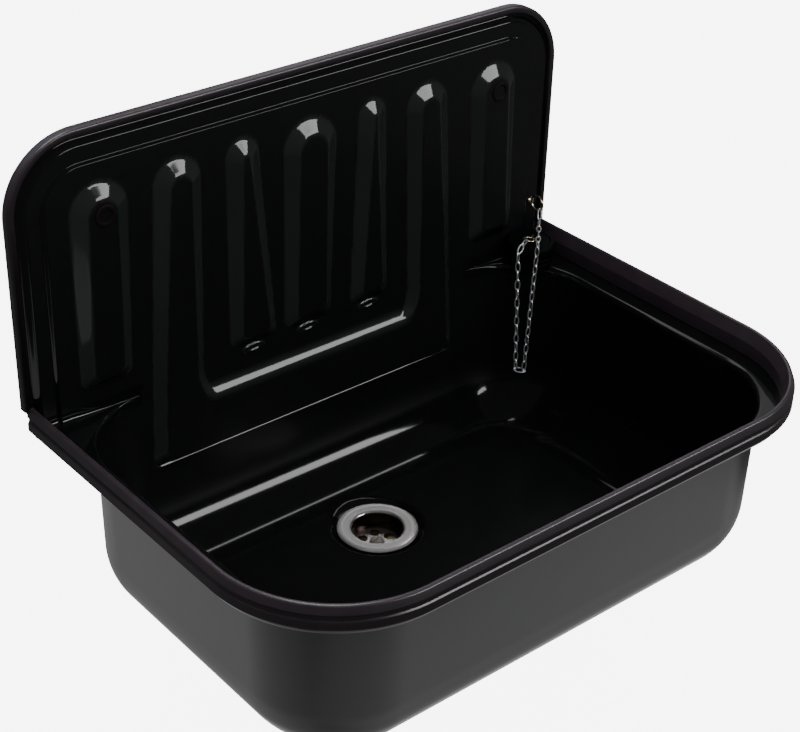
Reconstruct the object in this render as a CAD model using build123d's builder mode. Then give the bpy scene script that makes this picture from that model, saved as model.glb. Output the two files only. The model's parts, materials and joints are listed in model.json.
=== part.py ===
from build123d import *
from math import sqrt, tan, radians, cos, sin, atan2, degrees
import os

os.makedirs("parts", exist_ok=True)

# A wall-hung utility sink. The origin lies on the wall, midway between the two wall-screw holes.
# +X runs to the right, -Y out from the wall, +Z up.

# Overall sizes
WIDTH = 510.0
DEPTH = 341.0
BACK_RISE = 205.0
HOLE_RISE = 140.0
HOLE_SPACING = 370.0

# Pressed sheet
SHEET = 2.0
PRESS_ANGLE = 45.0
BACK_CORNER = 57.0
EDGE_FRONT = 5.0
STEP_1_INSET = 7.0
STEP_1_RISE = 2.0
STEP_2_INSET = 11.5
STEP_2_RISE = 2.3
STEP_3_INSET = 24.0
STEP_3_RISE = 2.2
RIB_RISE = 6.5
RIB_TOP = 165.0
RIB_FOOT_R = 9.0
BAND_INNER_R = 8.0
BAND_OUTER_R = 16.0
LEDGE_DROP = 19.5
UPTURN_IN = 3.0
UPTURN_DROP = 1.0
UPTURN_BEND = 4.0
RIM_CORNER = 100.0

# Bowl
LEDGE_SIDE = 27.0
LEDGE_FRONT = 26.5
BOWL_DEPTH = 143.0
REAR_CORNER = 68.0
FRONT_CORNER = 73.0
DRAFT = 1.0
BOTTOM_R = 54.0
LIP_R = 5.0
SEAT_R = 40.0
SEAT_FLAT_R = 35.5
SEAT_DROP = 3.5
DRAIN_Y = -98.0
DRAIN_HOLE_R = 24.0

# Edge trims
TRIM_CLEAR = 0.05
RIM_TRIM_WIDE = 9.2
RIM_CROWN = ((5.6, 2.6), (4.0, 3.0), (2.6, 2.2))
RIM_GROOVE = ((0.3, -3.4), (1.6, -5.0), (1.4, -7.6), (0.4, -8.8))
RIM_SKIRT_IN = 0.4
RIM_SKIRT = 15.2
RIM_CREASE = 8.0
RIM_FOOT_IN = 7.4
RIM_REST = 0.1
BACK_GRIP = 2.2
BACK_LIP = 6.0
BACK_TRIM_DEEP = 8.0
BACK_ROUND = 2.0
BACK_LIP_ROUND = 1.4
BACK_REAR_ROUND = 1.0
TRIM_GAP = 0.8
BACK_OVERRUN = 1.0

# Wall-screw bushes
BUSH_COLLAR_R = 8.5
BUSH_COLLAR = 2.0
BUSH_STEM_R = 5.5
BUSH_CLEAR = 0.05
SCREW_BORE_R = 3.25
SCREW_HEAD_R = 5.6
SCREW_HEAD_DEEP = 3.0
DISH_R = 12.0
DISH_DEEP = 0.9

# Waste
WASTE_FLANGE_R = 33.0
THROAT_R = 20.7
CUP_DEEP = 15.0
CUP_WALL = 1.2
CUP_TAPER = 1.1
STRAINER_HOLE_R = 4.2
STRAINER_RING_R = 12.5
STRAINER_HOLES = 6
FLANGE_GASKET = 1.2
BODY_GASKET = 3.0
GASKET_INSET = 0.8
FLANGE_GASKET_WIDE = 7.7
BODY_GASKET_WIDE = 8.2
BODY_RIM_R = 35.0
BODY_WALL = 3.0
TAIL_R = 23.9
TAIL_BORE_R = 20.0
TAIL_LENGTH = 24.0
SPIDER_BAR = 5.0
SPIDER_HIGH = 8.0
BOSS_R = 7.0
INSERT_R = 4.5
M6_R = 3.0
THREAD_CLEAR = 0.05
SCREW_HEAD_WASTE_R = 6.2
SLOT = 1.4

# Chain stay
STAY_INSET = 19.0
STAY_RISE = 25.0
STAY_EYE_R = 6.6
STAY_WIRE_R = 0.9
STAY_SHANK_R = 2.0
STAY_COLLAR_R = 3.4
STAY_COLLAR = 2.0
NUT_AF = 7.0
NUT_HIGH = 3.0
WASHER_R = 4.2
WASHER = 0.8

# Plug and chain
PLUG_INSET = 37.5
PLUG_Y = -33.0
PLUG_REST = 0.3
PLUG_R = 20.5
PLUG_BASE_R = 17.5
PLUG_HIGH = 22.0
PLUG_WIDEST = 15.0
PLUG_SHOULDER = 3.2
STAPLE_R = 0.7
STAPLE_HALF = 2.7
STAPLE_DEEP = 6.0
RING_R = 5.0
RING_WIRE_R = 0.7
RING_LIFT = 0.3
LINK_WIRE_R = 0.65
LINK_LONG = 10.0
LINK_WIDE = 3.4
LINK_CLEAR = 0.05
TOP_RUN_DIPS = (45.0, 20.0, 3.0, 3.0, 3.0, 3.0)
FALL_LINKS = 14
RISE_LINKS = 13
RING_RUN = (-0.94, -0.341)

# Levels and faces that follow
RIM_Z = -HOLE_RISE
LEDGE_Z = RIM_Z - LEDGE_DROP
FLOOR_Z = LEDGE_Z - BOWL_DEPTH
SEAT_Z = FLOOR_Z - SEAT_DROP
BORDER_Y = -(EDGE_FRONT + STEP_1_RISE + STEP_2_RISE)
FIELD_Y = BORDER_Y - STEP_3_RISE
RIB_Y = FIELD_Y - RIB_RISE
TURN = SHEET * tan(radians(PRESS_ANGLE / 2))
HALF = WIDTH / 2
BOWL_HALF = HALF - LEDGE_SIDE
BOWL_FRONT = DEPTH - LEDGE_FRONT
STAY_X = HALF - STAY_INSET
PLUG_X = HALF - PLUG_INSET
BACK_TOP = RIM_Z + BACK_RISE
FLANGE_HALF = HALF - UPTURN_IN
FLANGE_FRONT = DEPTH - UPTURN_IN

# Ribs on the back: left and right edge at the top, at the foot, and the foot's height above the rim
RIBS = (
    (-211.0, -162.0, -211.0, -167.0, 2.0),
    (-80.0, -49.0, -80.0, -35.0, -10.0),
    (-28.0, 23.0, -28.0, 18.0, -10.0),
    (43.0, 71.0, 37.0, 76.0, -10.0),
    (158.0, 207.0, 164.0, 210.0, 6.0),
)
BAND_TOP_LEFT = (-143.0, -100.0)
BAND_TOP_RIGHT = (91.0, 134.0)
BAND_INNER = (-104.0, 99.0)
BAND_OUTER = (-154.0, 148.0)
BAND_INNER_FOOT = -37.0
BAND_OUTER_FOOT = -88.0


def wall_plane(y):
    return Plane(origin=(0, y, 0), x_dir=(1, 0, 0), z_dir=(0, -1, 0))


def upright(x, y):
    return Plane(origin=(x, y, 0), x_dir=(1, 0, 0), z_dir=(0, -1, 0))


def back_face(inset):
    half = HALF - inset
    top = BACK_TOP - inset
    low = LEDGE_Z - 3 * LEDGE_DROP
    with BuildSketch() as face:
        Polygon((-half, low), (half, low), (half, top), (-half, top), align=None)
        fillet(face.vertices().group_by(Axis.Y)[-1], BACK_CORNER - inset)
    return face.sketch


def rib_face(rib, shrink):
    left, right, foot_left, foot_right, foot = rib
    top = RIM_Z + RIB_TOP
    with BuildSketch() as face:
        Polygon((foot_left, RIM_Z + foot), (foot_right, RIM_Z + foot), (right, top), (left, top), align=None)
        fillet(face.vertices().group_by(Axis.Y)[-1], 0.44 * (right - left))
        fillet(face.vertices().group_by(Axis.Y)[0], RIB_FOOT_R)
        if shrink > 0:
            offset(amount=-shrink, mode=Mode.REPLACE)
    return face.sketch


def band_face(shrink):
    top = RIM_Z + RIB_TOP
    inner = RIM_Z + BAND_INNER_FOOT
    outer = RIM_Z + BAND_OUTER_FOOT
    left_out, left_in = BAND_TOP_LEFT
    right_in, right_out = BAND_TOP_RIGHT
    with BuildSketch() as face:
        Polygon(
            (BAND_OUTER[0], outer),
            (BAND_OUTER[1], outer),
            (right_out, top),
            (right_in, top),
            (BAND_INNER[1], inner),
            (BAND_INNER[0], inner),
            (left_in, top),
            (left_out, top),
            align=None,
        )
        fillet(face.vertices().group_by(Axis.Y)[-1], 0.44 * (left_in - left_out))
        fillet(face.vertices().filter_by_position(Axis.Y, inner - 0.1, inner + 0.1), BAND_INNER_R)
        fillet(face.vertices().group_by(Axis.Y)[0], BAND_OUTER_R)
        if shrink > 0:
            offset(amount=-shrink, mode=Mode.REPLACE)
    return face.sketch


def bowl_face(grow):
    half = BOWL_HALF + grow
    rear = FIELD_Y + grow
    front = -BOWL_FRONT - grow
    with BuildSketch() as face:
        Polygon((-half, front), (half, front), (half, rear), (-half, rear), align=None)
        fillet(face.vertices().group_by(Axis.Y)[-1], REAR_CORNER + grow)
        fillet(face.vertices().group_by(Axis.Y)[0], FRONT_CORNER + grow)
    return face.sketch


def bowl_form(grow):
    seat_grow = grow * 0.8
    with BuildPart() as form:
        with BuildSketch(Plane.XY.offset(LEDGE_Z - LIP_R)):
            add(bowl_face(grow))
        extrude(amount=-(BOWL_DEPTH - LIP_R + grow), taper=DRAFT)
        fillet(form.faces().sort_by(Axis.Z)[0].edges(), BOTTOM_R + grow)
        with BuildSketch(Plane.XY.offset(LEDGE_Z - LIP_R)):
            add(bowl_face(grow))
        extrude(amount=LIP_R)
        with BuildSketch(upright(0, DRAIN_Y)):
            Polygon(
                (0, FLOOR_Z - grow + 2),
                (SEAT_R + seat_grow, FLOOR_Z - grow + 2),
                (SEAT_R + seat_grow, FLOOR_Z - grow),
                (SEAT_FLAT_R + seat_grow, SEAT_Z - grow),
                (0, SEAT_Z - grow),
                align=None,
            )
        revolve(axis=Axis((0, DRAIN_Y, 0), (0, 0, 1)))
    return form.part


def lip_wedge(side):
    start = (-BOWL_HALF + REAR_CORNER, FIELD_Y, LEDGE_Z)
    turn = REAR_CORNER * cos(radians(45))
    bend = FRONT_CORNER * cos(radians(45))
    with BuildPart() as wedge:
        with BuildLine() as path:
            rear = FIELD_Y - REAR_CORNER
            front = -BOWL_FRONT + FRONT_CORNER
            near = BOWL_HALF - REAR_CORNER
            far = BOWL_HALF - FRONT_CORNER
            z = LEDGE_Z
            ThreePointArc(start, (-near - turn, rear + turn, z), (-BOWL_HALF, rear, z))
            Line((-BOWL_HALF, rear, z), (-BOWL_HALF, front, z))
            ThreePointArc((-BOWL_HALF, front, z), (-far - bend, front - bend, z), (-far, -BOWL_FRONT, z))
            Line((-far, -BOWL_FRONT, z), (far, -BOWL_FRONT, z))
            ThreePointArc((far, -BOWL_FRONT, z), (far + bend, front - bend, z), (BOWL_HALF, front, z))
            Line((BOWL_HALF, front, z), (BOWL_HALF, rear, z))
            ThreePointArc((BOWL_HALF, rear, z), (near + turn, rear + turn, z), (near, FIELD_Y, z))
        with BuildSketch(Plane(origin=start, x_dir=(0, 1, 0), z_dir=(-1, 0, 0))):
            with BuildLine():
                if side == "top":
                    mid = LIP_R * (1 - cos(radians(45)))
                    Polyline((0, LIP_R), (-1, LIP_R), (-1, -1), (LIP_R, -1), (LIP_R, 0))
                    ThreePointArc((LIP_R, 0), (mid, mid), (0, LIP_R))
                else:
                    under = LIP_R - SHEET
                    mid = LIP_R - under * cos(radians(45))
                    Polyline((SHEET, LIP_R), (SHEET - 0.5, LIP_R), (SHEET - 0.5, SHEET - 0.5))
                    Polyline((SHEET - 0.5, SHEET - 0.5), (LIP_R, SHEET - 0.5), (LIP_R, SHEET))
                    ThreePointArc((LIP_R, SHEET), (mid, mid), (SHEET, LIP_R))
            make_face()
        sweep(path=path.wires()[0])
        keep = FIELD_Y if side == "top" else FIELD_Y + SHEET / 2
        with BuildSketch(Plane.XY.offset(LEDGE_Z - 3 * LIP_R)):
            Polygon((-HALF, keep), (HALF, keep), (HALF, -DEPTH), (-HALF, -DEPTH), align=None)
        extrude(amount=6 * LIP_R, mode=Mode.INTERSECT)
    return wedge.part


# The flange: a flat ledge with its edge turned up on the left, the front and the right
def ledge_tray():
    rear = -(EDGE_FRONT - SHEET / 2)
    border = HALF - STEP_3_INSET
    outer = HALF - STEP_2_INSET - STEP_2_RISE
    high = LEDGE_DROP - UPTURN_DROP
    with BuildPart() as tray:
        with BuildSketch(Plane.XY.offset(LEDGE_Z - SHEET)) as flange:
            Polygon(
                (-FLANGE_HALF, rear),
                (-FLANGE_HALF, -FLANGE_FRONT),
                (FLANGE_HALF, -FLANGE_FRONT),
                (FLANGE_HALF, rear),
                (outer, rear + BORDER_Y + EDGE_FRONT),
                (border, FIELD_Y + SHEET / 2),
                (-border, FIELD_Y + SHEET / 2),
                (-outer, rear + BORDER_Y + EDGE_FRONT),
                align=None,
            )
            fillet(flange.vertices().group_by(Axis.Y)[0], RIM_CORNER - UPTURN_IN)
        extrude(amount=high + SHEET)
        low_edges = tray.faces().sort_by(Axis.Z)[0].edges()
        fillet([e for e in low_edges if e.center().Y < FIELD_Y - SHEET], UPTURN_BEND)
        with BuildPart(mode=Mode.PRIVATE) as hollow:
            with BuildSketch(Plane.XY.offset(LEDGE_Z)) as pocket:
                half = FLANGE_HALF - SHEET
                front = FLANGE_FRONT - SHEET
                Polygon((-half, SHEET), (-half, -front), (half, -front), (half, SHEET), align=None)
                fillet(pocket.vertices().group_by(Axis.Y)[0], RIM_CORNER - UPTURN_IN - SHEET)
            extrude(amount=2 * high)
            low_edges = hollow.faces().sort_by(Axis.Z)[0].edges()
            fillet([e for e in low_edges if e.center().Y < FIELD_Y - SHEET], UPTURN_BEND - SHEET)
        add(hollow.part, mode=Mode.SUBTRACT)
    return tray.part


# Basin shell: back, flange and bowl from one pressed sheet
bowl_outside = bowl_form(SHEET)
bowl_inside = bowl_form(0)
lip_top = lip_wedge("top")
lip_under = lip_wedge("under")
tray = ledge_tray()
STEPS = ((STEP_1_INSET, STEP_1_RISE), (STEP_2_INSET, STEP_2_RISE), (STEP_3_INSET, STEP_3_RISE))

with BuildPart() as basin_shell:
    with BuildSketch(wall_plane(0)):
        add(back_face(BACK_GRIP))
    extrude(amount=EDGE_FRONT)
    level = EDGE_FRONT
    for inset, rise in STEPS:
        with BuildSketch(wall_plane(-level)):
            add(back_face(inset))
        extrude(amount=rise, taper=PRESS_ANGLE)
        level += rise
    with BuildSketch(wall_plane(0)):
        add(back_face(0))
    extrude(amount=EDGE_FRONT - SHEET, mode=Mode.SUBTRACT)
    level = EDGE_FRONT - SHEET
    for inset, rise in STEPS:
        with BuildSketch(wall_plane(-level)):
            add(back_face(inset + TURN))
        extrude(amount=rise, taper=PRESS_ANGLE, mode=Mode.SUBTRACT)
        level += rise
    with BuildSketch(Plane.XY.offset(LEDGE_Z - SHEET)):
        Polygon((-WIDTH, -DEPTH), (WIDTH, -DEPTH), (WIDTH, DEPTH), (-WIDTH, DEPTH), align=None)
    extrude(amount=-BOWL_DEPTH, mode=Mode.SUBTRACT)
    add(tray)
    add(bowl_outside)
    add(lip_under)
    add(bowl_inside, mode=Mode.SUBTRACT)
    add(lip_top, mode=Mode.SUBTRACT)
    for rib in RIBS:
        with BuildSketch(wall_plane(FIELD_Y)):
            add(rib_face(rib, 0))
        extrude(amount=RIB_RISE, taper=PRESS_ANGLE)
    with BuildSketch(wall_plane(FIELD_Y)):
        add(band_face(0))
    extrude(amount=RIB_RISE, taper=PRESS_ANGLE)
    for rib in RIBS:
        with BuildSketch(wall_plane(FIELD_Y + SHEET)):
            add(rib_face(rib, TURN))
        extrude(amount=RIB_RISE, taper=PRESS_ANGLE, mode=Mode.SUBTRACT)
    with BuildSketch(wall_plane(FIELD_Y + SHEET)):
        add(band_face(TURN))
    extrude(amount=RIB_RISE, taper=PRESS_ANGLE, mode=Mode.SUBTRACT)
    for x in (-HOLE_SPACING / 2, HOLE_SPACING / 2):
        with Locations(wall_plane(RIB_Y) * Pos(x, 0, 0)):
            Cylinder(BUSH_STEM_R + BUSH_CLEAR, 6 * SHEET, mode=Mode.SUBTRACT)
        with BuildSketch(wall_plane(RIB_Y)):
            with Locations((x, 0)):
                Circle(DISH_R)
        extrude(amount=-DISH_DEEP, taper=60, mode=Mode.SUBTRACT)
    with Locations(wall_plane(BORDER_Y) * Pos(STAY_X, RIM_Z + STAY_RISE, 0)):
        Cylinder(STAY_SHANK_R + THREAD_CLEAR, 6 * SHEET, mode=Mode.SUBTRACT)
    with Locations((0, DRAIN_Y, SEAT_Z)):
        Cylinder(DRAIN_HOLE_R, 6 * SHEET, mode=Mode.SUBTRACT)

basin_shell.part.label = "basin_shell"
export_step(basin_shell.part, "parts/basin_shell.step")

# Rim trim: one length of profile, pushed down over the turned-up edge
RIM_END = -BACK_TRIM_DEEP - TRIM_GAP
slot_out = UPTURN_IN - TRIM_CLEAR
slot_in = UPTURN_IN + SHEET + TRIM_CLEAR
slot_top = -UPTURN_DROP + TRIM_CLEAR
foot_z = -LEDGE_DROP + RIM_REST
bend_z = -LEDGE_DROP + UPTURN_BEND - SHEET

with BuildPart() as rim_edge_trim:
    with BuildLine() as rim_path:
        bend = RIM_CORNER * cos(radians(45))
        far = HALF - RIM_CORNER
        front = -DEPTH + RIM_CORNER
        Line((-HALF, RIM_END, RIM_Z), (-HALF, front, RIM_Z))
        ThreePointArc((-HALF, front, RIM_Z), (-far - bend, front - bend, RIM_Z), (-far, -DEPTH, RIM_Z))
        Line((-far, -DEPTH, RIM_Z), (far, -DEPTH, RIM_Z))
        ThreePointArc((far, -DEPTH, RIM_Z), (far + bend, front - bend, RIM_Z), (HALF, front, RIM_Z))
        Line((HALF, front, RIM_Z), (HALF, RIM_END, RIM_Z))
    with BuildSketch(Plane(origin=(-HALF, RIM_END, RIM_Z), x_dir=(1, 0, 0), z_dir=(0, -1, 0))):
        Polygon(
            *RIM_CROWN,
            *RIM_GROOVE,
            (RIM_SKIRT_IN, -RIM_SKIRT),
            (slot_out, -RIM_SKIRT),
            (slot_out, slot_top),
            (slot_in, slot_top),
            (slot_in, bend_z + RIM_REST),
            (RIM_FOOT_IN, foot_z),
            (RIM_TRIM_WIDE, foot_z),
            (RIM_TRIM_WIDE, -RIM_CREASE),
            align=None,
        )
    sweep(path=rim_path.wires()[0])

rim_edge_trim.part.label = "rim_edge_trim"
export_step(rim_edge_trim.part, "parts/rim_edge_trim.step")

# Back trim: a channel round the back's edge
BACK_END = RIM_Z - BACK_OVERRUN
sheet_back = EDGE_FRONT - SHEET - TRIM_CLEAR
sheet_front = EDGE_FRONT + TRIM_CLEAR
channel = BACK_GRIP - TRIM_CLEAR

with BuildPart() as back_edge_trim:
    with BuildLine() as back_path:
        bend = BACK_CORNER * cos(radians(45))
        near = HALF - BACK_CORNER
        high = BACK_TOP - BACK_CORNER
        Line((-HALF, 0, BACK_END), (-HALF, 0, high))
        ThreePointArc((-HALF, 0, high), (-near - bend, 0, high + bend), (-near, 0, BACK_TOP))
        Line((-near, 0, BACK_TOP), (near, 0, BACK_TOP))
        ThreePointArc((near, 0, BACK_TOP), (near + bend, 0, high + bend), (HALF, 0, high))
        Line((HALF, 0, high), (HALF, 0, BACK_END))
    with BuildSketch(Plane(origin=(-HALF, 0, BACK_END), x_dir=(1, 0, 0), z_dir=(0, 0, 1))):
        Polygon(
            (0, -BACK_REAR_ROUND),
            (0, -BACK_TRIM_DEEP + BACK_ROUND),
            (0.3 * BACK_ROUND, -BACK_TRIM_DEEP + 0.3 * BACK_ROUND),
            (BACK_ROUND, -BACK_TRIM_DEEP),
            (BACK_LIP - BACK_LIP_ROUND, -BACK_TRIM_DEEP),
            (BACK_LIP, -BACK_TRIM_DEEP + BACK_LIP_ROUND),
            (BACK_LIP, -sheet_front),
            (channel, -sheet_front),
            (channel, -sheet_back),
            (BACK_LIP, -sheet_back),
            (BACK_LIP, 0),
            (BACK_REAR_ROUND, 0),
            align=None,
        )
    sweep(path=back_path.wires()[0])

back_edge_trim.part.label = "back_edge_trim"
export_step(back_edge_trim.part, "parts/back_edge_trim.step")

# Bushes that line the wall-screw holes, from the rib's face back to the wall
seat_y = RIB_Y + DISH_DEEP
with BuildPart() as fixing_bushes:
    for x in (-HOLE_SPACING / 2, HOLE_SPACING / 2):
        with BuildSketch(Plane(origin=(x, 0, 0), x_dir=(1, 0, 0), z_dir=(0, 0, 1))):
            Polygon(
                (SCREW_BORE_R, 0),
                (BUSH_STEM_R, 0),
                (BUSH_STEM_R, seat_y),
                (BUSH_COLLAR_R, seat_y),
                (BUSH_COLLAR_R, seat_y - 0.5 * BUSH_COLLAR),
                (BUSH_COLLAR_R - 1.2, seat_y - BUSH_COLLAR),
                (SCREW_HEAD_R + 0.4, seat_y - BUSH_COLLAR),
                (SCREW_HEAD_R, seat_y - BUSH_COLLAR + 0.4),
                (SCREW_BORE_R, seat_y - BUSH_COLLAR + SCREW_HEAD_DEEP),
                align=None,
            )
        revolve(axis=Axis((x, 0, 0), (0, 1, 0)))

fixing_bushes.part.label = "fixing_bushes"
export_step(fixing_bushes.part, "parts/fixing_bushes.step")

# Waste: stainless flange with cup and strainer, clamped through the floor by one screw
drain = upright(0, DRAIN_Y)
drain_axis = Axis((0, DRAIN_Y, 0), (0, 0, 1))
flange_low = SEAT_Z + FLANGE_GASKET
strainer_z = flange_low - CUP_DEEP + CUP_WALL
under_z = SEAT_Z - SHEET
body_top = under_z - BODY_GASKET
cup_low_r = THROAT_R - CUP_TAPER

with BuildPart() as flange_gasket:
    with BuildSketch(Plane.XY.offset(SEAT_Z)):
        with Locations((0, DRAIN_Y)):
            Circle(WASTE_FLANGE_R - GASKET_INSET)
            Circle(WASTE_FLANGE_R - GASKET_INSET - FLANGE_GASKET_WIDE, mode=Mode.SUBTRACT)
    extrude(amount=FLANGE_GASKET)

flange_gasket.part.label = "flange_gasket"
export_step(flange_gasket.part, "parts/flange_gasket.step")

with BuildPart() as waste_flange:
    with BuildSketch(drain):
        with BuildLine():
            Polyline(
                (THROAT_R + 0.2, flange_low),
                (cup_low_r, strainer_z),
                (M6_R + 0.3, strainer_z),
                (M6_R + 0.3, strainer_z - CUP_WALL),
                (cup_low_r + CUP_WALL, strainer_z - CUP_WALL),
                (THROAT_R + CUP_WALL + 0.3, flange_low),
                (WASTE_FLANGE_R, flange_low),
                (WASTE_FLANGE_R, flange_low + 0.6),
            )
            ThreePointArc(
                (WASTE_FLANGE_R, flange_low + 0.6),
                (WASTE_FLANGE_R - 2.2, flange_low + 1.7),
                (WASTE_FLANGE_R - 5.0, flange_low + 2.0),
            )
            Line((WASTE_FLANGE_R - 5.0, flange_low + 2.0), (THROAT_R + 4.0, flange_low + 1.8))
            ThreePointArc(
                (THROAT_R + 4.0, flange_low + 1.8),
                (THROAT_R + 1.3, flange_low + 1.2),
                (THROAT_R + 0.2, flange_low),
            )
        make_face()
    revolve(axis=drain_axis)
    with Locations((0, DRAIN_Y, strainer_z)):
        with PolarLocations(STRAINER_RING_R, STRAINER_HOLES):
            Cylinder(STRAINER_HOLE_R, 4 * CUP_WALL, mode=Mode.SUBTRACT)

waste_flange.part.label = "waste_flange"
export_step(waste_flange.part, "parts/waste_flange.step")

with BuildPart() as body_gasket:
    with BuildSketch(Plane.XY.offset(body_top)):
        with Locations((0, DRAIN_Y)):
            Circle(BODY_RIM_R - GASKET_INSET)
            Circle(BODY_RIM_R - GASKET_INSET - BODY_GASKET_WIDE, mode=Mode.SUBTRACT)
    extrude(amount=BODY_GASKET)

body_gasket.part.label = "body_gasket"
export_step(body_gasket.part, "parts/body_gasket.step")

bell_r = BODY_RIM_R - 5.0
spider_z = strainer_z - CUP_WALL - 2.0 - SPIDER_HIGH
bell_low = spider_z - 3.0
neck_z = bell_low - (bell_r - TAIL_R)
tail_low = neck_z - TAIL_LENGTH

with BuildPart() as waste_body:
    with BuildSketch(drain):
        Polygon(
            (BODY_RIM_R, body_top),
            (BODY_RIM_R, body_top - 4.0),
            (BODY_RIM_R - 1.2, body_top - 5.2),
            (bell_r, body_top - 5.2),
            (bell_r, bell_low),
            (TAIL_R, neck_z),
            (TAIL_R, tail_low + 1.0),
            (TAIL_R - 1.0, tail_low),
            (TAIL_BORE_R, tail_low),
            (TAIL_BORE_R, neck_z + BODY_WALL),
            (bell_r - BODY_WALL, bell_low + BODY_WALL),
            (bell_r - BODY_WALL, body_top),
            align=None,
        )
    revolve(axis=drain_axis)
    with BuildSketch(Plane.XY.offset(spider_z)):
        with Locations((0, DRAIN_Y)):
            Rectangle(2 * bell_r - BODY_WALL, SPIDER_BAR)
            Rectangle(SPIDER_BAR, 2 * bell_r - BODY_WALL)
            Circle(BOSS_R)
    extrude(amount=SPIDER_HIGH)
    with Locations((0, DRAIN_Y, spider_z + SPIDER_HIGH / 2)):
        Cylinder(INSERT_R, 2 * SPIDER_HIGH, mode=Mode.SUBTRACT)

waste_body.part.label = "waste_body"
export_step(waste_body.part, "parts/waste_body.step")

with BuildPart() as screw_insert:
    with BuildSketch(Plane.XY.offset(spider_z)):
        with Locations((0, DRAIN_Y)):
            Circle(INSERT_R)
            Circle(M6_R + THREAD_CLEAR, mode=Mode.SUBTRACT)
    extrude(amount=SPIDER_HIGH)

screw_insert.part.label = "screw_insert"
export_step(screw_insert.part, "parts/screw_insert.step")

screw_low = spider_z - 3.0
with BuildPart() as waste_screw:
    with BuildSketch(drain):
        Polygon(
            (0, strainer_z + 3.0),
            (SCREW_HEAD_WASTE_R - 2.2, strainer_z + 2.8),
            (SCREW_HEAD_WASTE_R - 0.5, strainer_z + 1.8),
            (SCREW_HEAD_WASTE_R, strainer_z + 0.6),
            (SCREW_HEAD_WASTE_R, strainer_z),
            (M6_R, strainer_z),
            (M6_R, screw_low + 0.8),
            (M6_R - 0.8, screw_low),
            (0, screw_low),
            align=None,
        )
    revolve(axis=drain_axis)
    with Locations((0, DRAIN_Y, strainer_z + 3.0)):
        with Locations(Rotation(0, 0, 25)):
            Box(3 * SCREW_HEAD_WASTE_R, SLOT, 3.2, mode=Mode.SUBTRACT)

waste_screw.part.label = "waste_screw"
export_step(waste_screw.part, "parts/waste_screw.step")

# Chain stay: an eye on a threaded shank, held behind the sheet by a washer and a nut
stay_z = RIM_Z + STAY_RISE
eye_y = BORDER_Y - STAY_COLLAR - STAY_EYE_R
with BuildPart() as chain_stay:
    with Locations(Location((STAY_X, eye_y, stay_z), (0, 90, 0))):
        Torus(STAY_EYE_R, STAY_WIRE_R)
    with BuildSketch(Plane(origin=(STAY_X, 0, stay_z), x_dir=(1, 0, 0), z_dir=(0, 0, 1))):
        Polygon(
            (0, BORDER_Y - STAY_COLLAR),
            (STAY_COLLAR_R - 1.0, BORDER_Y - STAY_COLLAR),
            (STAY_COLLAR_R, BORDER_Y - STAY_COLLAR + 1.0),
            (STAY_COLLAR_R, BORDER_Y),
            (STAY_SHANK_R, BORDER_Y),
            (STAY_SHANK_R, BORDER_Y + SHEET + WASHER + NUT_HIGH + 0.8),
            (0, BORDER_Y + SHEET + WASHER + NUT_HIGH + 0.8),
            align=None,
        )
    revolve(axis=Axis((STAY_X, 0, stay_z), (0, 1, 0)))

chain_stay.part.label = "chain_stay"
export_step(chain_stay.part, "parts/chain_stay.step")

with BuildPart() as stay_washer:
    with BuildSketch(wall_plane(BORDER_Y + SHEET)):
        with Locations((STAY_X, stay_z)):
            Circle(WASHER_R)
            Circle(STAY_SHANK_R + THREAD_CLEAR, mode=Mode.SUBTRACT)
    extrude(amount=-WASHER)

stay_washer.part.label = "stay_washer"
export_step(stay_washer.part, "parts/stay_washer.step")

with BuildPart() as stay_nut:
    with BuildSketch(wall_plane(BORDER_Y + SHEET + WASHER)):
        with Locations((STAY_X, stay_z)):
            RegularPolygon(NUT_AF / 2, 6, major_radius=False)
            Circle(STAY_SHANK_R + THREAD_CLEAR, mode=Mode.SUBTRACT)
    extrude(amount=-NUT_HIGH)

stay_nut.part.label = "stay_nut"
export_step(stay_nut.part, "parts/stay_nut.step")

# Plug, parked on the right rear ledge
plug_low = LEDGE_Z + PLUG_REST
plug_top = plug_low + PLUG_HIGH
ring_way = Vector(RING_RUN[0], RING_RUN[1], 0).normalized()
ring_turn = degrees(atan2(ring_way.Y, ring_way.X))

with BuildPart() as plug:
    with BuildSketch(upright(PLUG_X, PLUG_Y)):
        with BuildLine():
            bend = PLUG_SHOULDER * cos(radians(45))
            widest = plug_low + PLUG_WIDEST
            edge = PLUG_R - PLUG_SHOULDER
            Polyline(
                (edge, plug_top),
                (0, plug_top),
                (0, plug_low),
                (PLUG_BASE_R - 1.0, plug_low),
                (PLUG_BASE_R, plug_low + 1.0),
                (PLUG_R - 0.8, widest - 1.0),
                (PLUG_R, widest),
                (PLUG_R, plug_top - PLUG_SHOULDER),
            )
            arc_z = plug_top - PLUG_SHOULDER + bend
            ThreePointArc((PLUG_R, plug_top - PLUG_SHOULDER), (edge + bend, arc_z), (edge, plug_top))
        make_face()
    revolve(axis=Axis((PLUG_X, PLUG_Y, 0), (0, 0, 1)))
    with Locations(Location((PLUG_X, PLUG_Y, plug_top), (0, 0, ring_turn))):
        with Locations((-STAPLE_HALF, 0, 0), (STAPLE_HALF, 0, 0)):
            Cylinder(STAPLE_R + THREAD_CLEAR, 2 * STAPLE_DEEP, mode=Mode.SUBTRACT)

plug.part.label = "plug"
export_step(plug.part, "parts/plug.step")

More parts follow.
